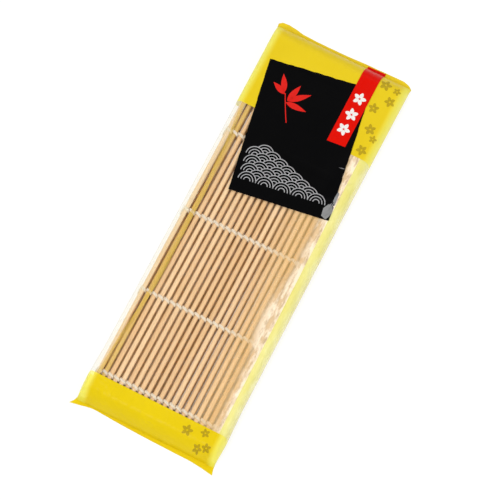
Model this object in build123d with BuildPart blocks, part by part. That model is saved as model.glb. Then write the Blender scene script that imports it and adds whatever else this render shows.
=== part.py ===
from build123d import *
from math import asin, cos, radians, sin
import os

# A bamboo rolling mat, folded in three layers and lying in a clear film bag.
# Millimetres, +Z up, +Y along the bag towards its headed end, origin under the middle of the bag.

# Sticks
stick_length = 240
stick_diameter = 2.8
stick_pitch = 3.9
stick_chamfer = 0.3
sticks_per_layer = 21
sticks_per_group = 7

# Threads: two strands twined about the sticks in each row
thread_thickness = 0.5
thread_width = 1.1
thread_clearance = 0.05
strand_gap = 0.1
thread_rows = 5
row_margin = 12
joint_clearance = 0.06
knot_diameter = 0.9
knot_length = 2.6

# Film bag
film_thickness = 0.2
film_clearance = 0.2
seal_length = 5.3
top_seal_width = 87.0
bottom_seal_width = 91.8
side_width = 86.0
foot_width = 89.6
flare_share = 0.8
shoulder_height = 6.0
crown_inset = 1.6
end_slope = 3.3
floor_clearance = 0.1

stick_radius = stick_diameter / 2
inner_reach = stick_radius + thread_clearance
outer_reach = inner_reach + thread_thickness
mid_reach = (inner_reach + outer_reach) / 2
first_layer = 2 * film_thickness + floor_clearance + outer_reach
layer_heights = [first_layer + n * stick_pitch for n in range(3)]
edge_stick = (sticks_per_layer - 1) * stick_pitch / 2
stick_places = [n * stick_pitch - edge_stick for n in range(sticks_per_layer)]
row_spacing = (stick_length - 2 * row_margin) / (thread_rows - 1)
row_places = [n * row_spacing + row_margin - stick_length / 2 for n in range(thread_rows)]
mat_top = layer_heights[2] + outer_reach
bag_top = mat_top + film_clearance + film_thickness

# How far the draped film and the whole bag reach from the middle
drape_end = stick_length / 2 + stick_radius + end_slope
head = drape_end + seal_length

# The slope, from upright, at which a strand leaves one stick for the next
lean = asin(2 * mid_reach / stick_pitch)


def section(place):
    """A plane across the sticks at a place along them, with its y axis upward."""
    return Plane(origin=(0, place, 0), x_dir=(1, 0, 0), z_dir=(0, -1, 0))


def rim_point(x, z, side, reach, angle):
    """A point about the stick at x, z, at an angle from upright, above it or below."""
    return (x + reach * sin(angle), z + side * reach * cos(angle))


def rim_arc(x, z, side, reach, start, stop):
    """The arc of a strand's edge about a stick."""
    ThreePointArc(
        rim_point(x, z, side, reach, start),
        rim_point(x, z, side, reach, (start + stop) / 2),
        rim_point(x, z, side, reach, stop),
    )


def strand_edge(places, z, side, upper, start, stop):
    """One edge of a strand over and under a row of sticks, and its two ends."""
    ends = []
    last = None
    for n, x in enumerate(places):
        turn = side * (-1) ** n
        reach = outer_reach if turn * upper > 0 else inner_reach
        low = start if n == 0 else -lean
        high = stop if n == len(places) - 1 else lean
        here = rim_point(x, z, turn, reach, low)
        if last:
            Line(last, here)
        else:
            ends.append(here)
        rim_arc(x, z, turn, reach, low, high)
        last = rim_point(x, z, turn, reach, high)
    ends.append(last)
    return ends


def strand(places, z, side, row, lane, start, stop):
    """A strand of thread through a row of sticks, first over them or under."""
    edge_of_lane = row + lane * (strand_gap + thread_width) / 2 + thread_width / 2
    with BuildSketch(section(edge_of_lane)) as profile:
        with BuildLine():
            upper = strand_edge(places, z, side, 1, start, stop)
            lower = strand_edge(places, z, side, -1, start, stop)
            Line(upper[0], lower[0])
            Line(upper[1], lower[1])
        make_face()
    extrude(profile.sketch, amount=thread_width)


def loop(x, z, side, row, lane, left_end, right_end):
    """A strand's turn about one stick, out to halfway to the next unless an end angle is given."""
    edge_of_lane = row + lane * (strand_gap + thread_width) / 2 + thread_width / 2
    half = thread_thickness / 2

    def halfway(hand, offset):
        out = stick_pitch / 2 - joint_clearance * cos(lean)
        up = joint_clearance * sin(lean)
        return (x + hand * (out + offset * sin(lean)), z + side * (up + offset * cos(lean)))

    low = -(lean if left_end is None else left_end)
    high = lean if right_end is None else right_end
    with BuildSketch(section(edge_of_lane)) as profile:
        with BuildLine():
            rim_arc(x, z, side, outer_reach, low, high)
            rim_arc(x, z, side, inner_reach, low, high)
            for hand, end, angle in ((-1, left_end, low), (1, right_end, high)):
                outside = rim_point(x, z, side, outer_reach, angle)
                inside = rim_point(x, z, side, inner_reach, angle)
                if end is None:
                    Line(outside, halfway(hand, half))
                    Line(halfway(hand, half), halfway(hand, -half))
                    Line(halfway(hand, -half), inside)
                else:
                    Line(outside, inside)
        make_face()
    extrude(profile.sketch, amount=thread_width)


def stick_row(places, z):
    """Round sticks with their ends eased."""
    with BuildSketch(section(stick_length / 2)) as profile:
        with Locations(*[(x, z) for x in places]):
            Circle(stick_radius)
    extrude(profile.sketch, amount=stick_length)


def layer_strands(z, side, wrapped_left, wrapped_right):
    """Both strands of each row in one layer, wrapped about its edge stick at a fold."""
    for row in row_places:
        for lane in (-1, 1):
            first = side * lane
            final = first * (-1) ** (sticks_per_layer - 1)
            start = fold_end(wrapped_left, first)
            stop = fold_end(wrapped_right, final)
            strand(stick_places, z, first, row, lane, -start, stop)


def fold_end(fold, side):
    """How far a strand turns about the edge stick: right round it, to its top, or clear."""
    if fold == 0:
        return lean
    return radians(180) if fold == side else 0


def knots(x, z):
    """The knots that end each row at a free edge."""
    for row in row_places:
        with BuildSketch(section(row + knot_length / 2)) as profile:
            with Locations((x, z)):
                Circle(knot_diameter / 2)
        extrude(profile.sketch, amount=knot_length)


def film_outline(side_inset, end_inset):
    """The bag's outline in plan, a little wider towards its foot."""
    side = side_width / 2 - side_inset
    foot = foot_width / 2 - side_inset
    end = drape_end - end_inset
    right = [(side, end), (side, -drape_end * flare_share), (foot, -end)]
    return right + [(-x, y) for x, y in reversed(right)]


def film_loft(skin, mode):
    """The draped film's outer or inner form, through three levels."""
    levels = [
        (film_thickness, 0, 0),
        (bag_top - shoulder_height, 0, 0),
        (bag_top - skin, crown_inset, end_slope),
    ]
    sections = []
    for height, side_inset, end_inset in levels:
        with BuildSketch(Plane.XY.offset(height)) as level:
            with BuildLine():
                Polyline(*film_outline(side_inset + skin, end_inset + skin), close=True)
            make_face()
        sections.append(level.sketch)
    loft(sections, ruled=True, mode=mode)


def seal_corners(end, outer_width, inner_width):
    """The four corners of a seal at one end of the bag."""
    return [
        (-outer_width / 2, end * head),
        (outer_width / 2, end * head),
        (inner_width / 2, end * drape_end),
        (-inner_width / 2, end * drape_end),
    ]


def finish(part, name):
    """Label a piece and write its file."""
    part.label = name
    export_step(part, f"parts/{name}.step")


os.makedirs("parts", exist_ok=True)

top_seal_corners = seal_corners(1, top_seal_width, side_width)
bottom_seal_corners = seal_corners(-1, bottom_seal_width, foot_width)

# Sticks of the two lower layers, in groups
for layer, name in enumerate(("bottom", "middle")):
    for group in range(sticks_per_layer // sticks_per_group):
        chosen = stick_places[group * sticks_per_group:(group + 1) * sticks_per_group]
        with BuildPart() as sticks:
            stick_row(chosen, layer_heights[layer])
            ends = sticks.edges().filter_by(GeomType.CIRCLE)
            chamfer(ends, length=stick_chamfer)
        finish(sticks.part, f"{name}_sticks_{group + 1}")

# Sticks and thread turns of the top layer, one by one
for n, x in enumerate(stick_places):
    with BuildPart() as top_stick:
        stick_row([x], layer_heights[2])
        chamfer(top_stick.edges().filter_by(GeomType.CIRCLE), length=stick_chamfer)
    finish(top_stick.part, f"top_stick_{n + 1:02d}")

    with BuildPart() as top_thread:
        for row in row_places:
            for lane in (-1, 1):
                side = lane * (-1) ** n
                left_end = fold_end(1, side) if n == 0 else None
                right_end = fold_end(0, side) if n == sticks_per_layer - 1 else None
                loop(x, layer_heights[2], side, row, lane, left_end, right_end)
    finish(top_thread.part, f"top_thread_{n + 1:02d}")

# Threads of the two lower layers
with BuildPart() as bottom_threads:
    layer_strands(layer_heights[0], 1, 0, -1)
finish(bottom_threads.part, "bottom_threads")

with BuildPart() as middle_threads:
    layer_strands(layer_heights[1], 1, -1, 1)
finish(middle_threads.part, "middle_threads")

# Knots at the two free edges
knot_place = edge_stick + inner_reach + knot_diameter / 2

with BuildPart() as bottom_knots:
    knots(-knot_place, layer_heights[0])
finish(bottom_knots.part, "bottom_knots")

with BuildPart() as top_knots:
    knots(knot_place, layer_heights[2])
finish(top_knots.part, "top_knots")

# Back film, flat on what the bag lies on
with BuildPart() as back_film:
    with BuildSketch() as flat_film:
        with BuildLine():
            Polyline(*film_outline(0, 0), close=True)
        make_face()
        for corners in (top_seal_corners, bottom_seal_corners):
            with BuildLine():
                Polyline(*corners, close=True)
            make_face()
    extrude(amount=film_thickness)
finish(back_film.part, "back_film")

# Front film, draped over the mat
with BuildPart() as front_film:
    film_loft(0, Mode.ADD)
    film_loft(film_thickness, Mode.SUBTRACT)
finish(front_film.part, "front_film")

# The front film's flat ends, sealed to the back film
for name, corners in (("top_seal", top_seal_corners), ("bottom_seal", bottom_seal_corners)):
    with BuildPart() as seal:
        with BuildSketch(Plane.XY.offset(film_thickness)):
            with BuildLine():
                Polyline(*corners, close=True)
            make_face()
        extrude(amount=film_thickness)
    finish(seal.part, name)

print("bag length", 2 * head, "height", bag_top, "hinges", edge_stick + stick_pitch / 2, layer_heights)
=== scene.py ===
from math import cos, pi, radians, sin

import bpy
import numpy as np
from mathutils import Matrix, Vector


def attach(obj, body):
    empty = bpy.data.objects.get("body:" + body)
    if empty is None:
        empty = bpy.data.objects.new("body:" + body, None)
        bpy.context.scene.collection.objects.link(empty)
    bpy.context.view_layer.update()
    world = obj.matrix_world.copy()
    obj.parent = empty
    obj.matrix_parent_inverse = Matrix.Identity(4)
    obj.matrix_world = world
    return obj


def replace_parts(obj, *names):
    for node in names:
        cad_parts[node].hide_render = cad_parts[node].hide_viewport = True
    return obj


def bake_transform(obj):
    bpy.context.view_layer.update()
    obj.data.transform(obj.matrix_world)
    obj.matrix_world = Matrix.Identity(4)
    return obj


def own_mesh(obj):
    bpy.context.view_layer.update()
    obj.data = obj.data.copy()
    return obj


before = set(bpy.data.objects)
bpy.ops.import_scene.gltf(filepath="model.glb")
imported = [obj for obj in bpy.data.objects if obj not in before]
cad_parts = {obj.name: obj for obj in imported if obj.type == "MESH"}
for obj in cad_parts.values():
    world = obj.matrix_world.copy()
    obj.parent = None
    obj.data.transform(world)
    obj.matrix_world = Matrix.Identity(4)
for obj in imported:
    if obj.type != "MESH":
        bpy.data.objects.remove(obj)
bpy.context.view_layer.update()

# Lengths are written in millimetres and scaled to metres when a mesh is made.
MM = 0.001

# The folded mat, as its solids have it
STICK_LENGTH = 240.0
STICK_RADIUS = 1.4
STICK_PITCH = 3.9
STICKS = 21
EDGE_STICK = (STICKS - 1) * STICK_PITCH / 2
LAYER_HEIGHTS = (2.45, 6.35, 10.25)
# The layers don't lie quite one above another
LAYER_SHIFTS = (-0.8, 0.7, 0.0)
ROW_PLACES = (-108.0, -54.0, 0.0, 54.0, 108.0)
STICK_PLACES = [n * STICK_PITCH - EDGE_STICK for n in range(STICKS)]
STICKS_PER_GROUP = 7
SEED = 41
# The top layer's sticks stand a little farther apart towards the foot than at the head, all but those at its fold
SPREAD = 0.00025
SPREAD_SHARES = (0.0, 0.0, 1.0)
SPREAD_START = -27.0

# The bag: half widths at places along it
SEAL_LINE = 124.7
FILM_END = 127.6
FILM_FOOT = 0.34
FILM_TOP = 12.36
HALF_WIDTHS = ((-124.7, 44.3), (-112.0, 44.7), (-90.0, 43.9), (40.0, 43.6), (124.7, 43.9))
YELLOW_HEAD_FOOT = 72.5
YELLOW_FOOT_TOP = -110.6


def spread(points, share, place=None):
    """Points of the mat with its sticks spread towards the foot, by a share of the top layer's spread. A stick
    goes by its own place, so it stays round."""
    points = np.array(points, float)
    from_fold = between(points[:, 0] if place is None else place, -EDGE_STICK, SPREAD_START)
    points[:, 0] *= 1 - SPREAD * share * from_fold * points[:, 1]
    return points


# ---------------------------------------------------------------- meshes

class Shape:
    """Points and faces gathered for one piece."""

    def __init__(self):
        self.points = []
        self.faces = []
        self.count = 0

    def add(self, points, faces):
        self.points.append(np.asarray(points, float))
        self.faces.extend([tuple(i + self.count for i in face) for face in faces])
        self.count += len(points)

    def piece(self, name, material, body):
        """The object made of the shape, riding a body unless that is None."""
        mesh = bpy.data.meshes.new(name)
        points = np.vstack(self.points) * MM
        mesh.from_pydata([tuple(p) for p in points], [], self.faces)
        mesh.polygons.foreach_set("use_smooth", [True] * len(mesh.polygons))
        mesh.materials.append(material)
        mesh.update()
        thing = bpy.data.objects.new(name, mesh)
        bpy.context.scene.collection.objects.link(thing)
        if body:
            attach(thing, body)
        return thing


def ring_faces(rings, sides):
    """Faces of a tube of rings, with a flat face at each end."""
    faces = []
    for i in range(rings - 1):
        for k in range(sides):
            a = i * sides + k
            b = i * sides + (k + 1) % sides
            faces.append((a, b, b + sides, a + sides))
    faces.append(tuple(range(sides))[::-1])
    faces.append(tuple((rings - 1) * sides + k for k in range(sides)))
    return faces


def tangents_along(path):
    """The unit directions of a path at its points."""
    tangents = np.gradient(path, axis=0)
    return tangents / np.linalg.norm(tangents, axis=1)[:, None]


def normals_along(path):
    """Two unit normals carried along a path without twist."""
    tangents = tangents_along(path)
    first = np.cross(tangents[0], (0.0, 1.0, 0.0))
    if np.linalg.norm(first) < 0.1:
        first = np.cross(tangents[0], (0.0, 0.0, 1.0))
    normal = first / np.linalg.norm(first)
    normals = []
    for tangent in tangents:
        normal = normal - tangent * np.dot(normal, tangent)
        normal = normal / np.linalg.norm(normal)
        normals.append(normal)
    normals = np.array(normals)
    return normals, np.cross(tangents, normals)


def tube(path, radius, sides):
    """Points and faces of a round tube along a path. radius may vary along it."""
    u, v = normals_along(path)
    radius = np.broadcast_to(radius, len(path))
    angles = np.arange(sides) * 2 * pi / sides
    ring = np.cos(angles)[None, :, None] * u[:, None, :] + np.sin(angles)[None, :, None] * v[:, None, :]
    points = path[:, None, :] + ring * radius[:, None, None]
    return points.reshape(-1, 3), ring_faces(len(path), sides)


def smooth_path(corners, steps):
    """A Catmull-Rom curve through the corners, with this many points a span."""
    corners = np.asarray(corners, float)
    ends = np.vstack([2 * corners[0] - corners[1], corners, 2 * corners[-1] - corners[-2]])
    out = []
    for i in range(len(corners) - 1):
        a, b, c, d = ends[i:i + 4]
        for t in np.arange(steps) / steps:
            out.append(0.5 * (2 * b + (c - a) * t + (2 * a - 5 * b + 4 * c - d) * t**2
                              + (3 * b - a - 3 * c + d) * t**3))
    out.append(corners[-1])
    return np.array(out)


def even_path(path, count):
    """The same path at evenly spaced points."""
    steps = np.linalg.norm(np.diff(path, axis=0), axis=1)
    run = np.concatenate([[0], np.cumsum(steps)])
    marks = np.linspace(0, run[-1], count)
    return np.column_stack([np.interp(marks, run, path[:, k]) for k in range(3)])


# ---------------------------------------------------------------- smooth noise

def lattice(i, j, seed):
    """A fixed pseudo-random number from 0 to 1 at each whole place."""
    h = (i.astype(np.int64) * 374761393 + j.astype(np.int64) * 668265263 + seed * 974634777) & 0xFFFFFFFF
    h = ((h ^ (h >> 13)) * 1274126177) & 0xFFFFFFFF
    return ((h ^ (h >> 16)) & 0xFFFF) / 65535.0


def noise(x, y, seed):
    """Smooth noise from 0 to 1, one bump a unit."""
    i, j = np.floor(x), np.floor(y)
    s, t = x - i, y - j
    s, t = s * s * (3 - 2 * s), t * t * (3 - 2 * t)
    low = lattice(i, j, seed) * (1 - s) + lattice(i + 1, j, seed) * s
    high = lattice(i, j + 1, seed) * (1 - s) + lattice(i + 1, j + 1, seed) * s
    return low * (1 - t) + high * t


def creases(x, y, seed):
    """Sharp ridges, 1 on a ridge and falling to 0 away from it."""
    return 1 - np.abs(2 * noise(x, y, seed) - 1)


def between(value, low, high):
    """A smooth step from 0 at low to 1 at high."""
    t = np.clip((value - low) / (high - low), 0, 1)
    return t * t * (3 - 2 * t)


# ---------------------------------------------------------------- materials

class Socket:
    """A node's output. Python's operators on it add Math nodes."""

    def __init__(self, paint, out):
        self.paint = paint
        self.out = out

    def maths(self, operation, *values):
        return self.paint.node("ShaderNodeMath", {"operation": operation}, *values)

    def __add__(self, other):
        return self.maths("ADD", self, other)

    def __sub__(self, other):
        return self.maths("SUBTRACT", self, other)

    def __rsub__(self, other):
        return self.maths("SUBTRACT", other, self)

    def __mul__(self, other):
        return self.maths("MULTIPLY", self, other)

    def __truediv__(self, other):
        return self.maths("DIVIDE", self, other)

    def __pow__(self, other):
        return self.maths("POWER", self, other)

    __radd__ = __add__
    __rmul__ = __mul__


class Paint:
    """A material and the nodes that it is made of."""

    def __init__(self, name):
        self.material = bpy.data.materials.new(name)
        self.material.use_nodes = True
        self.tree = self.material.node_tree
        self.tree.nodes.clear()

    def node(self, kind, settings, *inputs, output=0, **named):
        """A node of a type, with its settings made first and then its sockets. Returns one of its outputs."""
        node = self.tree.nodes.new(kind)
        stops = settings.pop("stops", None)
        for key, value in settings.items():
            setattr(node, key, value)
        if stops:
            ramp = node.color_ramp.elements
            while len(ramp) < len(stops):
                ramp.new(0.5)
            for element, (place, colour) in zip(ramp, stops):
                element.position = place
                element.color = (*colour, 1.0)
        for key, value in [*enumerate(inputs), *named.items()]:
            self.plug(node.inputs[key.replace("_", " ") if isinstance(key, str) else key], value)
        return Socket(self, node.outputs[output])

    def plug(self, socket, value):
        if isinstance(value, Socket):
            self.tree.links.new(value.out, socket)
        elif isinstance(value, (tuple, list)) and socket.type == "RGBA":
            socket.default_value = (*value, 1.0)
        else:
            socket.default_value = value

    def place(self):
        """The point of the piece, in metres."""
        return self.node("ShaderNodeTexCoord", {}, output="Object")

    def parts(self, vector):
        """A vector's x, y and z."""
        node = self.tree.nodes.new("ShaderNodeSeparateXYZ")
        self.tree.links.new(vector.out, node.inputs[0])
        return [Socket(self, out) for out in node.outputs]

    def joined(self, x, y, z):
        return self.node("ShaderNodeCombineXYZ", {}, x, y, z)

    def millimetres(self):
        """Millimetres across, along and up the bag."""
        return [part * 1000 for part in self.parts(self.place())]

    def mix(self, factor, first, second):
        """A colour between two colours."""
        node = self.tree.nodes.new("ShaderNodeMix")
        node.data_type = "RGBA"
        for index, value in ((0, factor), (6, first), (7, second)):
            self.plug(node.inputs[index], value)
        return Socket(self, node.outputs[2])

    def noise(self, vector, scale, detail=2.0, roughness=0.5):
        return self.node("ShaderNodeTexNoise", {"noise_dimensions": "3D"}, Vector=vector, Scale=scale,
                         Detail=detail, Roughness=roughness)

    def bump(self, height, strength, distance):
        return self.node("ShaderNodeBump", {}, Height=height, Strength=strength, Distance=distance)

    def shader(self, **sockets):
        """The Principled shader, with its sockets named with underscores."""
        return self.node("ShaderNodeBsdfPrincipled", {}, **sockets)

    def done(self, surface):
        out = self.tree.nodes.new("ShaderNodeOutputMaterial")
        self.tree.links.new(surface.out, out.inputs["Surface"])
        return self.material


def bamboo(name, pale, deep, seam):
    """Round bamboo: a tone for each stick, streaks of fibre along it and pores in its cut ends."""
    paint = Paint(name)
    across, along, up = paint.millimetres()
    layer = paint.node("ShaderNodeMath", {"operation": "FLOOR"}, up / STICK_PITCH + 0.01)
    # A curve through the three layers' shifts
    bend = (LAYER_SHIFTS[0] + LAYER_SHIFTS[2]) / 2 - LAYER_SHIFTS[1]
    rise = LAYER_SHIFTS[1] - LAYER_SHIFTS[0] - bend
    shift = layer * (layer * bend + rise) + LAYER_SHIFTS[0]
    from_fold = paint.node("ShaderNodeMapRange", {"interpolation_type": "SMOOTHSTEP"}, across,
                           -EDGE_STICK, SPREAD_START, 0.0, 1.0)
    fanned = layer * (layer - 1) * from_fold * (SPREAD / 2)
    # The half puts each stick's middle in the middle of its step, and the rest keeps the steps above zero
    level = (across - shift) / (STICK_PITCH * (1 - along * fanned)) + 30.5
    stick = paint.node("ShaderNodeMath", {"operation": "FLOOR"}, level)
    tone = paint.node("ShaderNodeTexWhiteNoise", {"noise_dimensions": "3D"},
                      Vector=paint.joined(stick, layer, 3.0), output="Value")
    broad = paint.noise(paint.joined(across * 0.5, along * 0.012, up * 0.5 + tone * 20.0), 1.0, 3.0)
    fibre = paint.noise(paint.joined(across * 5.0, along * 0.06 + tone * 40.0, up * 5.0), 1.0, 4.0, 0.6)
    pores = paint.noise(paint.joined(across * 9.0, along * 0.22 + tone * 9.0, up * 9.0), 1.0, 1.0)
    colour = paint.mix(tone * 0.55 + broad * 0.55, pale, deep)
    streak = paint.node("ShaderNodeValToRGB", {"stops": [(0.52, (0, 0, 0)), (0.72, (1, 1, 1))]}, fibre)
    colour = paint.mix(streak * 0.55, colour, seam)
    fleck = paint.node("ShaderNodeValToRGB", {"stops": [(0.66, (0, 0, 0)), (0.74, (1, 1, 1))]}, pores)
    colour = paint.mix(fleck * 0.4, colour, seam)
    height = paint.bump(fibre + pores * 0.5, 0.35, 0.0001)
    return paint.done(paint.shader(Base_Color=colour, Roughness=0.42 + 0.2 * broad, Normal=height,
                                   Specular_IOR_Level=0.4))


def cotton(name):
    """Twisted cotton: pale, matt, with fine fibres and a little dirt."""
    paint = Paint(name)
    across, along, up = paint.millimetres()
    fuzz = paint.noise(paint.joined(across, along, up), 6.0, 4.0, 0.7)
    blotch = paint.noise(paint.joined(across, along, up), 0.25, 2.0)
    colour = paint.mix(fuzz * 0.5 + blotch * 0.5, (0.93, 0.83, 0.67), (0.80, 0.68, 0.51))
    return paint.done(paint.shader(Base_Color=colour, Roughness=0.9, Sheen_Weight=0.25,
                                   Normal=paint.bump(fuzz, 0.5, 0.00008)))


def wrinkle_bump(paint, strength):
    """Fine wrinkles of thin film, too small for the mesh."""
    across, along, up = paint.millimetres()
    warp = paint.noise(paint.joined(across, along, up), 0.06, 2.0)
    fine = paint.noise(paint.joined(across + warp * 16, along * 0.4 + warp * 10, up), 0.13, 3.0, 0.5)
    ridge = 1.0 - paint.node("ShaderNodeMath", {"operation": "ABSOLUTE"}, fine * 2.0 - 1.0)
    return ridge, paint.bump(ridge**8.0, strength, 0.0005)


def clear_film(name):
    """Clear film: almost unseen on the left, faintly golden, and milky with white painted glare where it is
    crumpled over the right.
    """
    paint = Paint(name)
    across, along, up = paint.millimetres()
    ridge, normal = wrinkle_bump(paint, 0.35)
    from_bulge = paint.node("ShaderNodeMath", {"operation": "ABSOLUTE"}, along + 36.0)
    bulge = paint.node("ShaderNodeMapRange", {"interpolation_type": "SMOOTHSTEP"}, from_bulge, 4.0, 34.0, 4.5, 0.0)
    right = paint.node("ShaderNodeMapRange", {"interpolation_type": "SMOOTHSTEP"}, across + along * 0.02 + bulge,
                       30.5, 38.0, 0.0, 1.0)
    warp = paint.noise(paint.joined(across, along * 0.3, up), 0.24, 4.0, 0.65)
    crumple_glare_patches = paint.node("ShaderNodeValToRGB", {"stops": [(0.42, (0, 0, 0)), (0.56, (1, 1, 1))]}, warp)
    gold = paint.node("ShaderNodeMapRange", {"interpolation_type": "SMOOTHSTEP"}, across + along * 0.06,
                      10.0, 28.0, 0.012, 0.34)
    # White painted glare, partly milky haze: faint on fine crease ridges everywhere, strong in patches over the
    # crumpled right side
    milky_haze_and_painted_glare = ridge**12.0 * 0.05 + right * (crumple_glare_patches * 0.5 + 0.2)
    colour = paint.mix(milky_haze_and_painted_glare / (milky_haze_and_painted_glare + gold), (1.0, 0.66, 0.24), (0.99, 0.905, 0.79))
    return paint.done(paint.shader(Base_Color=colour, Roughness=0.16, Alpha=milky_haze_and_painted_glare + gold,
                                   Normal=normal, Specular_IOR_Level=0.5))


def side_film(name, first, second, thin, thick):
    """The bag's sides and borders: film with a translucent pale yellow edge."""
    paint = Paint(name)
    across, along, up = paint.millimetres()
    _, normal = wrinkle_bump(paint, 0.4)
    fade = paint.noise(paint.joined(across * 0.4, along * 0.2, up * 0.4), 0.35, 3.0)
    return paint.done(paint.shader(Base_Color=paint.mix(fade, first, second), Roughness=0.2,
                                   Alpha=thin + (thick - thin) * fade, Normal=normal, Specular_IOR_Level=0.4))


def printed_film(name, first, second, gloss, bump, cover=1.0, edged=False):
    """Film printed one colour, a little uneven, with fine wrinkles. An edged one pales down the bag's sides."""
    paint = Paint(name)
    _, normal = wrinkle_bump(paint, bump)
    across, along, up = paint.millimetres()
    cloud = paint.noise(paint.joined(across, along, up), 0.05, 3.0)
    colour = paint.mix(cloud, first, second)
    if edged:
        aside = paint.node("ShaderNodeMath", {"operation": "ABSOLUTE"}, across - 0.6)
        pale = paint.node("ShaderNodeMapRange", {"interpolation_type": "SMOOTHSTEP"}, aside, 38.0, 42.3, 0.0, 1.0)
        colour = paint.mix(pale, colour, (1.0, 0.92, 0.10))
        cover = cover - pale * 0.2
    return paint.done(paint.shader(Base_Color=colour, Roughness=0.3, Alpha=cover,
                                   Normal=normal, Specular_IOR_Level=gloss))


def plain_ink(name, colour, alpha=1.0):
    """Ink printed over a ground, with a little of the ground showing through."""
    paint = Paint(name)
    across, along, up = paint.millimetres()
    grain = paint.noise(paint.joined(across, along, up), 1.6, 2.0)
    darker = tuple(0.86 * c for c in colour)
    return paint.done(paint.shader(Base_Color=paint.mix(grain, colour, darker), Roughness=0.4, Alpha=alpha,
                                   Specular_IOR_Level=0.2))


def glare_ink(name):
    """Black print lightened to grey in patches as a painted glare, with a fine crumpled bump."""
    paint = Paint(name)
    across, along, up = paint.millimetres()
    fine = paint.noise(paint.joined(across, along * 0.6, up), 0.5, 4.0, 0.7)
    return paint.done(paint.shader(Base_Color=paint.mix(fine, (0.07, 0.07, 0.07), (0.36, 0.36, 0.36)),
                                   Roughness=0.35, Normal=paint.bump(fine, 0.4, 0.0003)))


def floor_white(name):
    """A white floor that still takes the shadow."""
    paint = Paint(name)
    path = paint.tree.nodes.new("ShaderNodeLightPath")
    seen = [Socket(paint, path.outputs[k]) for k in ("Is Camera Ray", "Is Glossy Ray", "Is Transmission Ray")]
    factor = paint.node("ShaderNodeMath", {"operation": "MINIMUM"}, seen[0] + seen[1] + seen[2], 1.0) * 0.66
    matt = paint.shader(Base_Color=(0.9, 0.9, 0.9), Roughness=0.9, Specular_IOR_Level=0.0)
    glow = paint.node("ShaderNodeEmission", {}, Color=(1, 1, 1), Strength=1.1)
    return paint.done(paint.node("ShaderNodeMixShader", {}, factor, matt, glow))


BAMBOO = bamboo("bamboo", pale=(0.95, 0.70, 0.42), deep=(0.76, 0.47, 0.22), seam=(0.42, 0.22, 0.08))
BAMBOO_GOLD = bamboo("golden_bamboo", pale=(0.80, 0.56, 0.16), deep=(0.62, 0.38, 0.09), seam=(0.36, 0.2, 0.05))
COTTON = cotton("cotton_thread")
CLEAR_FILM = clear_film("clear_film")
RIGHT_FILM = side_film("pale_yellow_film", (1.0, 0.96, 0.16), (1.0, 0.97, 0.46), thin=0.6, thick=0.84)
LEFT_FILM = side_film("faint_yellow_film", (0.98, 0.93, 0.55), (0.99, 0.96, 0.75), thin=0.12, thick=0.4)
BORDER_FILM = side_film("border_film", (0.74, 0.49, 0.07), (0.82, 0.57, 0.11), thin=0.25, thick=0.6)
YELLOW_PRINT = printed_film("yellow_print", (0.80, 0.60, 0.014), (0.75, 0.54, 0.010), gloss=0.07, bump=0.1,
                            cover=0.94, edged=True)
FOOT_PRINT = printed_film("yellow_foot_print", (0.82, 0.61, 0.004), (0.75, 0.545, 0.003), gloss=0.08, bump=0.3,
                          cover=0.95, edged=True)
SEAL_PRINT = printed_film("yellow_seal", (0.80, 0.60, 0.012), (0.75, 0.54, 0.009), gloss=0.15, bump=0.1)
FOOT_SEAL_PRINT = printed_film("yellow_foot_seal", (0.80, 0.60, 0.003), (0.75, 0.54, 0.002), gloss=0.12, bump=0.1)
BLACK_PRINT = printed_film("black_print", (0.0012, 0.0012, 0.0014), (0.002, 0.002, 0.0022), gloss=0.03, bump=0.06)
RED_PRINT = printed_film("red_print", (0.69, 0.005, 0.0), (0.64, 0.003, 0.0), gloss=0.05, bump=0.06)
# Black print lightened grey by painted glare
GLARE_INK = glare_ink("black_print_painted_glare")
OLIVE_INK = plain_ink("olive_ink", (0.47, 0.34, 0.01), alpha=0.5)
GREY_INK = plain_ink("grey_ink", (0.40, 0.40, 0.41))
RED_INK = plain_ink("red_ink", (0.69, 0.005, 0.0))
WHITE_INK = plain_ink("white_ink", (0.86, 0.82, 0.78))


# ---------------------------------------------------------------- camera, floor and light

VIEW_AZIMUTH = radians(27.07)
VIEW_ELEVATION = radians(74.3)
AIM = Vector((3.97, -2.67, 0.0)) * MM
DISTANCE = 2.0
FRAME_WIDTH = 0.2911
SENSOR = 36.0

back = Vector((sin(VIEW_AZIMUTH) * cos(VIEW_ELEVATION), -cos(VIEW_AZIMUTH) * cos(VIEW_ELEVATION),
               sin(VIEW_ELEVATION)))
camera_data = bpy.data.cameras.new("camera")
camera_data.sensor_width = SENSOR
camera_data.lens = SENSOR * DISTANCE / FRAME_WIDTH
camera_data.clip_end = 20.0
camera = bpy.data.objects.new("camera", camera_data)
camera.location = AIM + back * DISTANCE
camera.rotation_euler = back.to_track_quat("Z", "Y").to_euler()
bpy.context.scene.collection.objects.link(camera)
bpy.context.scene.camera = camera
bpy.context.scene.view_settings.view_transform = "Standard"

# Metres. The floor lies a hair under the bag
FLOOR_REACH = 3.0
FLOOR_LEVEL = -0.00005
floor_mesh = bpy.data.meshes.new("floor")
floor_corners = [(x * FLOOR_REACH, y * FLOOR_REACH, FLOOR_LEVEL) for x, y in ((-1, -1), (1, -1), (1, 1), (-1, 1))]
floor_mesh.from_pydata(floor_corners, [], [(0, 1, 2, 3)])
floor_mesh.materials.append(floor_white("floor"))
floor = bpy.data.objects.new("floor", floor_mesh)
bpy.context.scene.collection.objects.link(floor)

WORLD_LIGHT = 0.56
world = bpy.data.worlds.new("studio")
bpy.context.scene.world = world
world.use_nodes = True
background = world.node_tree.nodes["Background"]
background.inputs["Color"].default_value = (1, 1, 1, 1)
background.inputs["Strength"].default_value = WORLD_LIGHT


def lamp(name, place, size, power):
    """A soft square lamp, aimed at the middle of the bag."""
    data = bpy.data.lights.new(name, "AREA")
    data.size = size
    data.energy = power
    thing = bpy.data.objects.new(name, data)
    thing.location = place
    thing.rotation_euler = Vector(place).to_track_quat("Z", "Y").to_euler()
    bpy.context.scene.collection.objects.link(thing)


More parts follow.
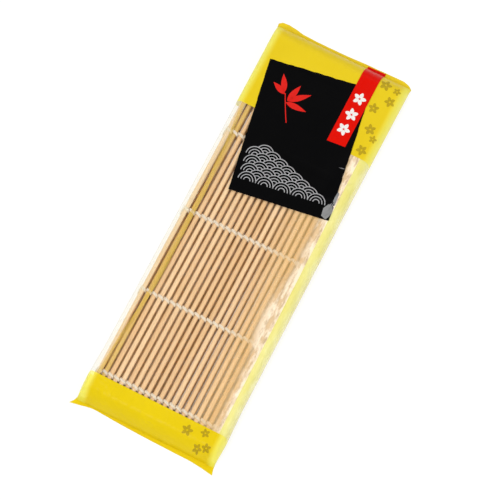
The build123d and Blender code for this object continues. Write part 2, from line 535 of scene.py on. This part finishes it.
lamp("key", (-0.45, -0.6, 1.35), size=0.7, power=8.6)
lamp("fill", (1.1, -0.3, 0.8), size=0.9, power=6.0)
lamp("rim", (-0.3, 1.0, 1.0), size=1.2, power=5.0)


# ---------------------------------------------------------------- sticks

STICK_SIDES = 14
STICK_RINGS = 22
STICK_EASE = 0.3
EASED_SHARE = 0.8
PLAIN_END = 5


def stick(place, layer, number):
    """One slightly uneven round stick with eased ends."""
    x, z = place + LAYER_SHIFTS[layer], LAYER_HEIGHTS[layer]
    edge = STICK_LENGTH / 2
    along = np.concatenate([[-edge, -edge + STICK_EASE],
                            np.linspace(-edge + PLAIN_END, edge - PLAIN_END, STICK_RINGS),
                            [edge - STICK_EASE, edge]])
    ease = np.ones(len(along))
    ease[[0, -1]] = EASED_SHARE
    angles = np.arange(STICK_SIDES) * 2 * pi / STICK_SIDES
    draw = np.random.RandomState(SEED + number)
    lean_angle, flat = draw.uniform(0, pi), draw.uniform(0.005, 0.02)
    waver = 0.985 + 0.015 * noise(along / 23.0, np.full(len(along), number * 3.7), SEED)
    bow = 0.05 * np.sin(pi * along / 54.0 + draw.uniform(0, 0.3)) * draw.uniform(-1, 1)
    rows = STICK_RADIUS * ease * waver
    shape = 1 - flat * (1 + np.cos(2 * (angles - lean_angle)))
    radius = rows[:, None] * shape[None, :]
    points = np.empty((len(along), STICK_SIDES, 3))
    points[:, :, 0] = x + bow[:, None] * 0.4 + radius * np.cos(angles)
    points[:, :, 1] = along[:, None]
    points[:, :, 2] = z + radius * np.sin(angles)
    faces = [face[::-1] for face in ring_faces(len(along), STICK_SIDES)]
    return spread(points.reshape(-1, 3), SPREAD_SHARES[layer], place), faces


for layer, layer_name in enumerate(("bottom", "middle")):
    for group in range(STICKS // STICKS_PER_GROUP):
        shape = Shape()
        for n in range(group * STICKS_PER_GROUP, (group + 1) * STICKS_PER_GROUP):
            shape.add(*stick(STICK_PLACES[n], layer, layer * STICKS + n))
        sticks = shape.piece(f"{layer_name}_bamboo_{group + 1}", BAMBOO, f"{layer_name}_layer")
        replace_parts(sticks, f"{layer_name}_sticks_{group + 1}")

# One stick of the top layer is golden
GOLDEN = 1
for n, x in enumerate(STICK_PLACES):
    shape = Shape()
    shape.add(*stick(x, 2, 2 * STICKS + n))
    look = BAMBOO_GOLD if n == GOLDEN else BAMBOO
    one = shape.piece(f"bamboo_{n + 1:02d}", look, f"top_link_{n + 1:02d}")
    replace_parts(one, f"top_stick_{n + 1:02d}")


# ---------------------------------------------------------------- threads

# With its plies a strand reaches a little less than half the layers' spacing from a stick's middle, so strands of
# two layers don't cross. Its inner side lies just inside the stick's face
STRAND_REACH = 1.62
STRAND_LEAN = np.arcsin(2 * STRAND_REACH / STICK_PITCH)
STRAND_SWAY = 0.7
PLIES = 3
PLY_RADIUS = 0.27
PLY_OUT = 0.05
PLY_ASIDE = 0.75
PLY_SIDES = 5
TWIST_LENGTH = 2.3


def cord_of_plies(path, flat_along, ply_radius=PLY_RADIUS, aside=PLY_ASIDE, out=PLY_OUT, end_ease=False):
    """Three plies twisted about a path. flat_along holds the direction in which the strand is widest."""
    tangents = tangents_along(path)
    wide = np.broadcast_to(flat_along, path.shape)
    wide = wide - tangents * np.sum(wide * tangents, axis=1)[:, None]
    wide /= np.linalg.norm(wide, axis=1)[:, None]
    deep = np.cross(tangents, wide)
    run = np.concatenate([[0], np.cumsum(np.linalg.norm(np.diff(path, axis=0), axis=1))])
    points, faces, count = [], [], 0
    for ply in range(PLIES):
        turn = 2 * pi * (run / TWIST_LENGTH + ply / PLIES)
        centre = path + wide * (aside * np.cos(turn))[:, None] + deep * (out * np.sin(turn))[:, None]
        radius = np.full(len(path), ply_radius)
        if end_ease:
            radius[-1] *= 0.4
        new, new_faces = tube(centre, radius, PLY_SIDES)
        points.append(new)
        faces.extend([tuple(i + count for i in face) for face in new_faces])
        count += len(new)
    return np.vstack(points), faces


# Points along a plain turn, and along one that ends at a fold
TURN_POINTS = 13
END_TURN_POINTS = 18


def turn_path(side, left, right):
    """A strand over a stick or under it, in x, y and z about the stick. left and right say how it ends:
    halfway to the next stick, or turned up or down round an edge stick to meet the fold."""
    def stop(end):
        if end == "on":
            return STRAND_LEAN
        same = (end == "up") == (side > 0)
        return radians(45 if same else 135)

    angles = np.linspace(-stop(left), stop(right), 24)
    spots = [(STRAND_REACH * sin(a), side * STRAND_REACH * cos(a)) for a in angles]
    if left == "on":
        spots.insert(0, (-STICK_PITCH / 2, 0.0))
    if right == "on":
        spots.append((STICK_PITCH / 2, 0.0))
    flat = np.array([(x, 0.0, z) for x, z in spots])
    flat = even_path(flat, TURN_POINTS if left == right == "on" else END_TURN_POINTS)
    flat[:, 1] = -side * STRAND_SWAY * np.clip(flat[:, 0] / (STICK_PITCH / 2), -1, 1)
    return flat


turn_shapes = {}


def thread_turns(shape, place, layer, number, left="on", right="on"):
    """The turns of both strands of every row about one stick."""
    x, z = place + LAYER_SHIFTS[layer], LAYER_HEIGHTS[layer]
    for row in ROW_PLACES:
        for lane in (-1, 1):
            side = lane * (-1) ** number
            key = (side, left, right)
            if key not in turn_shapes:
                turn_shapes[key] = cord_of_plies(turn_path(*key), (0.0, 1.0, 0.0))
            points, faces = turn_shapes[key]
            shape.add(spread(points + np.array((x, row, z)), SPREAD_SHARES[layer]), faces)


bottom = Shape()
middle = Shape()
for n, x in enumerate(STICK_PLACES):
    last = n == STICKS - 1
    thread_turns(bottom, x, 0, n, "on", "up" if last else "on")
    thread_turns(middle, x, 1, n, "up" if n == 0 else "on", "down" if last else "on")
    top = Shape()
    thread_turns(top, x, 2, n, "down" if n == 0 else "on", "on")
    strands = top.piece(f"thread_turns_{n + 1:02d}", COTTON, f"top_link_{n + 1:02d}")
    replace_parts(strands, f"top_thread_{n + 1:02d}")
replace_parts(bottom.piece("bottom_thread_turns", COTTON, "bottom_layer"), "bottom_threads")
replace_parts(middle.piece("middle_thread_turns", COTTON, "middle_layer"), "middle_threads")


# A strand's bend across a fold: how far out of the edge stick and how high, from lower layer to upper
FOLD_BEND = ((1.2, -0.8), (1.75, -0.42), (1.95, 0.0), (1.75, 0.42), (1.2, 0.8))
FOLD_SPAN = (-0.8, 0.8)


def fold_strands(name, hand, lower_layer):
    """The short slack lengths that cross a fold, from the lower layer's edge stick to the upper one's."""
    shape = Shape()
    height = (LAYER_HEIGHTS[lower_layer] + LAYER_HEIGHTS[lower_layer + 1]) / 2
    shifts = np.array(LAYER_SHIFTS[lower_layer:lower_layer + 2])
    for row in ROW_PLACES:
        for lane in (-1, 1):
            aside = np.interp([z for _, z in FOLD_BEND], FOLD_SPAN, shifts)
            path = smooth_path([(hand * (EDGE_STICK + out) + dx, row + lane * STRAND_SWAY * 0.8, height + z)
                                for (out, z), dx in zip(FOLD_BEND, aside)], 4)
            points, faces = cord_of_plies(even_path(path, TURN_POINTS), (0.0, 1.0, 0.0))
            share = np.interp(points[:, 2] - height, FOLD_SPAN, SPREAD_SHARES[lower_layer:lower_layer + 2])
            shape.add(spread(points, share), faces)
    strands = shape.piece(name, COTTON, None)
    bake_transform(strands)


fold_strands("right_fold_strands", 1, 0)
fold_strands("left_fold_strands", -1, 1)


# A ply's radius and how far it stands aside and out, in a knot and in its short ends
KNOT_PLIES = (0.17, 0.12, 0.12)
TAIL_PLIES = (0.16, 0.13, 0.13)


def edge_knots(name, hand, layer, body, node):
    """A small overhand knot and two short ends where each row stops at a free edge."""
    shape = Shape()
    x = hand * (EDGE_STICK + STICK_PITCH / 2 - 0.05) + LAYER_SHIFTS[layer]
    z = LAYER_HEIGHTS[layer]
    for number, row in enumerate(ROW_PLACES):
        t = np.linspace(0.2, 2 * pi - 0.2, 40)
        knot = np.column_stack([
            x + hand * 0.28 * (np.sin(t) + 1.3 * np.sin(2 * t)) * 0.7,
            row + 0.36 * (np.cos(t) - 1.6 * np.cos(2 * t)),
            z - 0.34 * np.sin(3 * t),
        ])
        points, faces = cord_of_plies(knot, (0.0, 0.0, 1.0), *KNOT_PLIES)
        shape.add(spread(points, SPREAD_SHARES[layer]), faces)
        draw = np.random.RandomState(SEED + 7 * number + (3 if hand > 0 else 0))
        for lane in (-1, 1):
            length = draw.uniform(2.6, 3.6)
            droop = draw.uniform(-0.5, 0.3)
            tail = smooth_path([
                (x, row + lane * 0.4, z),
                (x + hand * 0.25, row + lane * 1.1, z + droop * 0.3),
                (x + hand * 0.1, row + lane * (0.5 + length * 0.5), z + droop * 0.8),
                (x + hand * draw.uniform(-0.2, 0.35), row + lane * length, z + droop),
            ], 6)
            points, faces = cord_of_plies(even_path(tail, 14), (0.0, 0.0, 1.0), *TAIL_PLIES, end_ease=True)
            shape.add(spread(points, SPREAD_SHARES[layer]), faces)
    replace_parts(shape.piece(name, COTTON, body), node)


edge_knots("bottom_row_knots", -1, 0, "bottom_layer", "bottom_knots")
edge_knots("top_row_knots", 1, 2, "top_link_21", "top_knots")


# ---------------------------------------------------------------- film

def half_width(y):
    """Half the bag's width at a place along it."""
    places, widths = zip(*HALF_WIDTHS)
    return np.interp(y, places, widths)


def edge_stick(y):
    """How far from the middle the top layer's right edge stick stands at a place along it. The film is shaped over
    it on both sides."""
    return EDGE_STICK * (1 - SPREAD * y)


def rounded(share, power):
    """1 at share 0, falling to 0 at share 1 with a rounded shoulder."""
    return np.maximum(1 - np.clip(share, 0, 1) ** power, 0) ** (1 / power)


SIDE_POWER = 2.7
END_POWER = 1.7
END_SAG = 1.25
END_START = 118.6
# How high the film's forms stand: its swell, the crumples on the right, the slack on the left and the gathers
SWELL = 0.14
CRUMPLE = 0.8
SLACK = 0.3
GATHER = 0.5
GATHER_REACH = 7.0
FOOT_GATHER = 0.8
# The lowest that the film lies over the sticks, and how much more over a row of threads
OVER_STICKS = 11.75
OVER_THREADS = 0.68


def film_height(x, y):
    """The height of the front film over any point of the bag."""
    across, along = np.broadcast_arrays(np.asarray(x, float), np.asarray(y, float))
    crown = edge_stick(along)
    fall = rounded((np.abs(across) - crown) / (half_width(along) - crown), SIDE_POWER)
    ends = rounded((np.abs(along) - END_START) / (FILM_END - END_START), END_POWER) ** END_SAG
    flat = FILM_FOOT + (FILM_TOP - FILM_FOOT) * fall * ends
    up = fall * ends
    # Soft waves, crinkles over the slack right side, and gathers near the seals
    wave = SWELL * (noise(across / 13 + 3, along / 30, SEED) - 0.4)
    right = between(across, 24, 36) * between(along, -112, -96) * (1 - between(along, 60, 80))
    warp = 3 * noise(across / 6, along / 9, SEED + 1)
    crinkle = CRUMPLE * right * creases(across / 7 + warp * 0.3, along / 13 + warp * 0.25, SEED + 2) ** 4
    loose = SLACK * between(-across, 33, 40) * creases(across / 5, along / 30, SEED + 3) ** 4
    near_end = np.exp(-np.abs(SEAL_LINE - np.abs(along)) / GATHER_REACH)
    gather = GATHER * near_end * creases(across / 5.5 + warp * 0.15, along / 60, SEED + 4) ** 3
    foot_left = between(-along, 108, 114) * between(-across, 22, 34)
    foot_creases = creases(across / 7 + along / 11, along / 16 - across / 40, SEED + 5) ** 5
    gather = gather + FOOT_GATHER * foot_left * foot_creases
    folds = (wave + crinkle + loose) * up + gather * np.clip(up + 0.12, 0, 1)
    height = flat + folds
    # The film never dips into the sticks or the thread rows
    over_mat = (np.abs(across) < crown + 1.0) & (np.abs(along) < STICK_LENGTH / 2)
    row_gap = np.min([np.abs(along - row) for row in ROW_PLACES], axis=0)
    floor_of_film = OVER_STICKS + OVER_THREADS * (1 - between(row_gap, 2.1, 3.6))
    return np.where(over_mat, np.maximum(height, floor_of_film), height)


SIDE_STEPS = 14
TOP_STEPS = 96
END_STEPS = 16


def film_grid(low, high, spacing):
    """Points over the whole width of the bag between two places along it, rows by columns. Towards a seal
    the rows come closer together, and so do the columns down the sides."""
    start, stop = max(low, -END_START), min(high, END_START)
    places = list(np.linspace(start, stop, int(round((stop - start) / spacing)) + 1))
    down = END_START + (FILM_END - END_START) * np.sin(np.linspace(0, pi / 2, END_STEPS + 1))[1:]
    if high > END_START:
        places += list(down)
    if low < -END_START:
        places = list(-down[::-1]) + places
    angle = np.linspace(0, pi / 2, SIDE_STEPS + 1)[1:]
    out = np.sin(angle)
    grid = []
    for y in places:
        crown, edge = edge_stick(y), half_width(y)
        wall = crown + (edge - crown) * out
        x = np.concatenate([-wall[::-1], np.linspace(-crown, crown, TOP_STEPS + 1), wall])
        grid.append(np.column_stack([x, np.full(len(x), y), film_height(x, y)]))
    return np.array(grid)


def grid_faces(rows, columns):
    """Faces of a grid, facing up."""
    return [(i * columns + k, i * columns + k + 1, (i + 1) * columns + k + 1, (i + 1) * columns + k)
            for i in range(rows - 1) for k in range(columns - 1)]


def flatten(thing):
    """Gives a piece a mesh of its own."""
    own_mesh(thing)


def grid_piece(name, grid, material, nodes):
    """A piece of the bag made of one grid of points."""
    shape = Shape()
    shape.add(grid.reshape(-1, 3), grid_faces(*grid.shape[:2]))
    thing = shape.piece(name, material, "bag")
    if nodes:
        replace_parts(thing, *nodes)
    return thing


def film_piece(name, grid, material, nodes=()):
    """A piece of the front film or of its print."""
    flatten(grid_piece(name, grid, material, nodes))


GRID_SPACING = 1.0
clear_part = film_grid(YELLOW_FOOT_TOP, YELLOW_HEAD_FOOT, GRID_SPACING)
# The tinted sides begin a little way in from the edge sticks
LEFT_EDGE = SIDE_STEPS + 2
RIGHT_EDGE = SIDE_STEPS + TOP_STEPS - 1
film_piece("clear_front_film", clear_part[:, LEFT_EDGE:RIGHT_EDGE + 1], CLEAR_FILM,
           ("front_film",))
film_piece("left_side_film", clear_part[:, :LEFT_EDGE + 1], LEFT_FILM)
film_piece("right_side_film", clear_part[:, RIGHT_EDGE:], RIGHT_FILM)
film_piece("yellow_head", film_grid(YELLOW_HEAD_FOOT, SEAL_LINE, GRID_SPACING), YELLOW_PRINT)
film_piece("yellow_foot", film_grid(-SEAL_LINE, YELLOW_FOOT_TOP, GRID_SPACING), FOOT_PRINT)


CRUMPLE_LIFT = 0.2


def print_height(x, y, lift):
    """The height of a print at a lift over the film, and a little more over the crumples on the right, which
    would come through it."""
    return film_height(x, y) + lift + CRUMPLE_LIFT * between(x, 19.0, 26.0)


def patch(corners, spacing, lift, ragged=0.0, seed=0):
    """A four-cornered print over the film: a grid between its corners, lying on the film's height."""
    corners = np.asarray(corners, float)
    width = np.linalg.norm(corners[1] - corners[0])
    length = np.linalg.norm(corners[3] - corners[0])
    s = np.linspace(0, 1, max(3, int(width / spacing)))
    t = np.linspace(0, 1, max(3, int(length / spacing)))
    s, t = np.meshgrid(s, t)
    flat = ((1 - s) * (1 - t))[..., None] * corners[0] + (s * (1 - t))[..., None] * corners[1] \
        + (s * t)[..., None] * corners[2] + ((1 - s) * t)[..., None] * corners[3]
    if ragged:
        edge = ragged * (noise(s * width / 2.2, t * 0 + 5, seed) - 0.5) * between(t, 0.8, 1)
        side = ragged * 0.6 * (noise(t * length / 3.1, s * 0 + 9, seed + 1) - 0.5) * (between(s, 0.9, 1) + 1
                                                                                 - between(s, 0, 0.1))
        flat[..., 1] += edge
        flat[..., 0] += side
    x, y = flat[..., 0], flat[..., 1]
    # Higher over the steep end of the bag
    lift = lift * (1 + 1.5 * between(y, 119.0, 124.0))
    return np.stack([x, y, print_height(x, y, lift)], axis=-1)


# Corners in the order lower left, lower right, upper right, upper left
BLACK_PANEL = np.array(((-22.4, 21.3), (38.2, 30.3), (24.6, 113.7), (-37.0, 103.7)))
RED_STRIP = ((15.1, 73.9), (26.6, 74.9), (26.6, 129.6), (15.1, 129.2))
panel = patch(BLACK_PANEL, spacing=0.9, lift=0.07, ragged=0.5, seed=SEED + 9)
film_piece("black_panel", panel, BLACK_PRINT)
film_piece("red_strip", patch(RED_STRIP, spacing=0.35, lift=0.12), RED_PRINT)

BORDER_LINE = ((72.5, -38.6), (45.0, -36.2), (12.0, -34.2), (-20.0, -34.2), (-50.0, -33.9), (-76.8, -36.4),
               (-93.0, -37.7), (-110.6, -38.6))
BORDER_WIDTH = 2.0
BORDER_LIFT = 0.04
places = np.linspace(YELLOW_FOOT_TOP, YELLOW_HEAD_FOOT, 190)
line_y, line_x = (np.array(values)[::-1] for values in zip(*BORDER_LINE))
border = []
for step in np.linspace(-0.5, 0.5, 5):
    x = np.interp(places, line_y, line_x) + 0.5 * (noise(places / 17, places * 0, SEED + 20) - 0.5)
    x = x + step * BORDER_WIDTH * (0.8 + 0.5 * noise(places / 23, places * 0 + 4, SEED + 21))
    border.append(np.column_stack([x, places, film_height(x, places) + BORDER_LIFT]))
border = np.stack(border, axis=1)
film_piece("left_border_strip", border, BORDER_FILM)


def turned(points, centre, angle):
    """Flat points turned about the origin, then moved."""
    points = np.asarray(points, float)
    c, s = cos(angle), sin(angle)
    return np.column_stack([points[:, 0] * c - points[:, 1] * s + centre[0],
                            points[:, 0] * s + points[:, 1] * c + centre[1]])


INK_RINGS = (0.34, 0.67, 1.0)


def flat_print(name, outlines, lift, material):
    """Small flat shapes of ink lying on the film, each given as an outline round a centre."""
    shape = Shape()
    for centre, outline in outlines:
        outline = np.asarray(outline)
        rings = [np.asarray(centre) + (outline - centre) * share for share in INK_RINGS]
        flat = np.vstack([[centre], *rings])
        points = np.column_stack([flat, print_height(flat[:, 0], flat[:, 1], lift)])
        count = len(outline)
        faces = [(0, 1 + k, 1 + (k + 1) % count) for k in range(count)]
        for ring in range(len(INK_RINGS) - 1):
            first = 1 + ring * count
            for k in range(count):
                after = (k + 1) % count
                faces.append((first + k, first + count + k, first + count + after, first + after))
        shape.add(points, faces)
    flatten(shape.piece(name, material, "bag"))


def petal(length, width, notch=0.0):
    """The outline of a petal or leaf that points along +x from the origin."""
    t = np.linspace(0, 1, 9)
    half = width / 2 * np.sin(pi * t ** 0.8)
    along = length * t
    upper = np.column_stack([along, half])
    lower = np.column_stack([along[::-1], -half[::-1]])[1:-1]
    outline = np.vstack([upper, lower])
    if notch:
        outline[8, 0] -= notch
    return outline


PETALS = 5


def blossom(centre, size, angle):
    """The petals of one flower, as outlines round their own centres."""
    out = []
    for k in range(PETALS):
        turn = angle + 2 * pi * k / PETALS
        outline = turned(petal(size * 0.5, size * 0.30, size * 0.06), centre, turn)
        outline = outline + size * 0.05 * np.array((cos(turn), sin(turn)))
        middle_of_petal = outline.mean(axis=0)
        out.append((middle_of_petal, outline))
    return out


HEAD_BLOSSOMS = (
    ((30.9, 120.0), 7.6, 0.2), ((37.6, 111.4), 6.6, 0.9), ((30.8, 103.8), 6.6, 0.5), ((38.6, 119.0), 5.0, 0.1),
    ((34.8, 91.2), 7.0, 0.7), ((38.9, 86.4), 5.0, 0.3), ((36.0, 77.6), 6.8, 1.0),
)
FOOT_BLOSSOMS = (
    ((22.2, -117.0), 7.0, 0.3), ((32.3, -114.0), 5.6, 0.8), ((31.8, -123.6), 5.6, 0.1), ((36.6, -121.4), 5.6, 0.6),
)
prints = []
for centre, size, angle in HEAD_BLOSSOMS + FOOT_BLOSSOMS:
    prints += blossom(centre, size, angle)
flat_print("printed_blossoms", prints, lift=0.06, material=OLIVE_INK)

STRIP_BLOSSOMS = (((20.9, 105.2), 8.0, 0.2), ((21.0, 94.4), 8.0, 0.6), ((20.9, 84.4), 8.0, 0.0))
prints = []
for centre, size, angle in STRIP_BLOSSOMS:
    prints += blossom(centre, size, angle)
flat_print("strip_blossoms", prints, lift=0.16, material=WHITE_INK)

# The black panel's own directions, for the patterns printed on it
panel_across = BLACK_PANEL[1] - BLACK_PANEL[0]
panel_up = BLACK_PANEL[3] - BLACK_PANEL[0]
panel_across = panel_across / np.linalg.norm(panel_across)
panel_up = panel_up / np.linalg.norm(panel_up)


def on_panel(points):
    """Points given across and up the black panel, in the bag's frame."""
    points = np.asarray(points, float)
    return BLACK_PANEL[0] + points[:, :1] * panel_across + points[:, 1:] * panel_up


def printed_lines(name, lines, width, lift, material):
    """Thin printed lines lying on the film."""
    shape = Shape()
    for line in lines:
        line = np.asarray(line)
        along = tangents_along(line)
        aside = np.column_stack([-along[:, 1], along[:, 0]]) * width / 2
        flat = np.stack([line + aside, line - aside], axis=1).reshape(-1, 2)
        points = np.column_stack([flat, print_height(flat[:, 0], flat[:, 1], lift)])
        shape.add(points, grid_faces(len(line), 2))
    flatten(shape.piece(name, material, "bag"))


WAVE_RADIUS = 5.3
WAVE_START = 8.6
# The outer arc and the two inside it, as shares of the radius
WAVE_ARCS = (1.0, 0.68, 0.36)
# How many waves a row has, less one where it is shifted, and how high up the panel it is
WAVE_ROWS = ((5, 8.4), (5, 11.05), (4, 13.7), (4, 16.35), (3, 19.0), (3, 21.65), (2, 24.3), (2, 26.95))
wave_rows = []
for row, (count, up) in enumerate(WAVE_ROWS):
    shift = WAVE_RADIUS * (row % 2)
    wave_rows.append([(WAVE_START + shift + 2 * WAVE_RADIUS * k, up) for k in range(count - row % 2)])
waves = []
for row, centres in enumerate(wave_rows):
    # The rows nearer the foot lie in front of this one
    front = [c for nearer in wave_rows[:row] for c in nearer]
    for centre in centres:
        for radius in [share * WAVE_RADIUS for share in WAVE_ARCS]:
            turn = np.linspace(0, pi, 37)
            arc = np.column_stack([centre[0] + radius * np.cos(turn), centre[1] + radius * np.sin(turn)])
            shown = np.ones(len(arc), bool)
            for other in front:
                shown &= np.hypot(arc[:, 0] - other[0], arc[:, 1] - other[1]) > WAVE_RADIUS - 0.01
            start = None
            for k, seen in enumerate([*shown, False]):
                if seen and start is None:
                    start = k
                elif not seen and start is not None:
                    if k - start > 3:
                        waves.append(on_panel(arc[start:k]))
                    start = None
printed_lines("wave_pattern", waves, width=0.5, lift=0.1, material=GREY_INK)

# A sprig of bamboo leaves: where each starts, its direction and its length
LEAF_WIDTH = 3.6
LEAVES = ((17.0, 62.0, 0.55, 15.0), (17.0, 62.0, 1.15, 12.5), (16.4, 61.0, -0.15, 13.5), (14.0, 66.5, 1.9, 11.5),
          (14.6, 65.5, 2.6, 10.0))
prints = []
for x, y, turn, length in LEAVES:
    outline = on_panel(turned(petal(length, LEAF_WIDTH), (x, y), turn))
    prints.append((outline.mean(axis=0), outline))
flat_print("leaf_sprig", prints, lift=0.12, material=RED_INK)
t = np.linspace(0, 1, 16)
stem = on_panel(np.column_stack([20.4 - 6.6 * t + 0.8 * t * t, 49.0 + 17.2 * t]))
printed_lines("sprig_stem", [stem], width=0.55, lift=0.1, material=RED_INK)

# Painted glare at the panel's lower right corner, and a narrow painted glint above it
PAINTED_GLARE_OUTLINES = (
    ((35.2, 48.6), (36.4, 48.0), (36.9, 43.0), (37.9, 34.0), (38.3, 30.9), (35.6, 30.4), (32.9, 31.4), (32.0, 36.0),
     (33.4, 39.0), (35.2, 41.4), (35.0, 45.0)),
    ((28.6, 61.9), (31.0, 62.7), (33.0, 62.9), (31.2, 62.2)),
)
prints = []
for outline in PAINTED_GLARE_OUTLINES:
    outline = np.array(outline)
    prints.append((outline.mean(axis=0), outline))
flat_print("panel_painted_glare", prints, lift=0.11, material=GLARE_INK)


# ---------------------------------------------------------------- seals and back film

HEAD_EDGE = ((-44.3, 129.2), (-42.2, 131.0), (-38.0, 131.2), (-33.0, 130.6), (-28.0, 129.7), (-20.0, 129.3),
             (0.0, 129.4), (12.0, 130.0), (38.0, 130.5), (42.0, 129.4), (44.2, 127.6))
FOOT_EDGE = ((-47.3, -130.9), (-44.0, -130.3), (-40.0, -129.5), (-35.0, -128.5), (-30.0, -128.3), (-20.0, -129.0),
             (0.0, -129.7), (20.0, -130.0), (30.0, -130.1), (38.0, -130.8), (42.0, -131.4), (45.6, -131.9))


SEAL_COLUMNS = 91
SEAL_ROWS = 25
SEAL_RIBS = 9


def seal_grid(edge, end, height, ribs):
    """A flat seal from the film's end to its cut edge, pressed into fine ribs."""
    edge_x, edge_y = (np.array(values) for values in zip(*edge))
    inner = half_width(end * SEAL_LINE)
    share = np.linspace(0, 1, SEAL_COLUMNS)
    outer_x = edge_x[0] + (edge_x[-1] - edge_x[0]) * share
    outer_y = np.interp(outer_x, edge_x, edge_y)
    outer_y = outer_y + 0.12 * (noise(outer_x / 2.1, outer_x * 0, SEED + 30) - 0.5)
    inner_x = -inner + 2 * inner * share
    rows = []
    for t in np.linspace(0, 1, SEAL_ROWS):
        # The ears flare only near the cut edge
        x = inner_x + (outer_x - inner_x) * t**2
        y = end * SEAL_LINE + (outer_y - end * SEAL_LINE) * t
        z = height + ribs * np.sin(t * pi * SEAL_RIBS) ** 2 + 0.1 * (noise(x / 9, y / 9, SEED + 31) - 0.3) * t
        rows.append(np.column_stack([x, y, z]))
    return np.array(rows if end > 0 else rows[::-1])


# The height of a seal's sheet, and how high its ribs are
FRONT_SHEET = (FILM_FOOT - 0.05, 0.05)
BACK_SHEET = (0.1, 0.03)
for name, edge, end, sheet, look, nodes in (
    ("head_seal", HEAD_EDGE, 1, FRONT_SHEET, SEAL_PRINT, ("top_seal",)),
    ("foot_seal", FOOT_EDGE, -1, FRONT_SHEET, FOOT_SEAL_PRINT, ("bottom_seal",)),
    ("head_seal_back", HEAD_EDGE, 1, BACK_SHEET, SEAL_PRINT, ()),
    ("foot_seal_back", FOOT_EDGE, -1, BACK_SHEET, FOOT_SEAL_PRINT, ()),
):
    grid_piece(name, seal_grid(edge, end, *sheet), look, nodes)


BACK_SPACING = 2.0
BACK_COLUMNS = 61


def back_grid(low, high):
    """The back film between two places along the bag, almost flat on what the bag lies on."""
    rows = []
    for y in np.linspace(low, high, int((high - low) / BACK_SPACING) + 2):
        x = half_width(y) * np.linspace(-1, 1, BACK_COLUMNS)
        z = 0.05 + 0.12 * noise(x / 8, np.full(len(x), y) / 12, SEED + 40)
        rows.append(np.column_stack([x, np.full(len(x), y), z]))
    return np.array(rows)


for name, low, high, look, slot, nodes in (
    ("back_clear_film", YELLOW_FOOT_TOP, YELLOW_HEAD_FOOT, CLEAR_FILM, "clear_film", ("back_film",)),
    ("back_yellow_head", YELLOW_HEAD_FOOT, SEAL_LINE, YELLOW_PRINT, "printed_film", ()),
    ("back_yellow_foot", -SEAL_LINE, YELLOW_FOOT_TOP, YELLOW_PRINT, "printed_film", ()),
):
    grid_piece(name, back_grid(low, high), look, nodes)
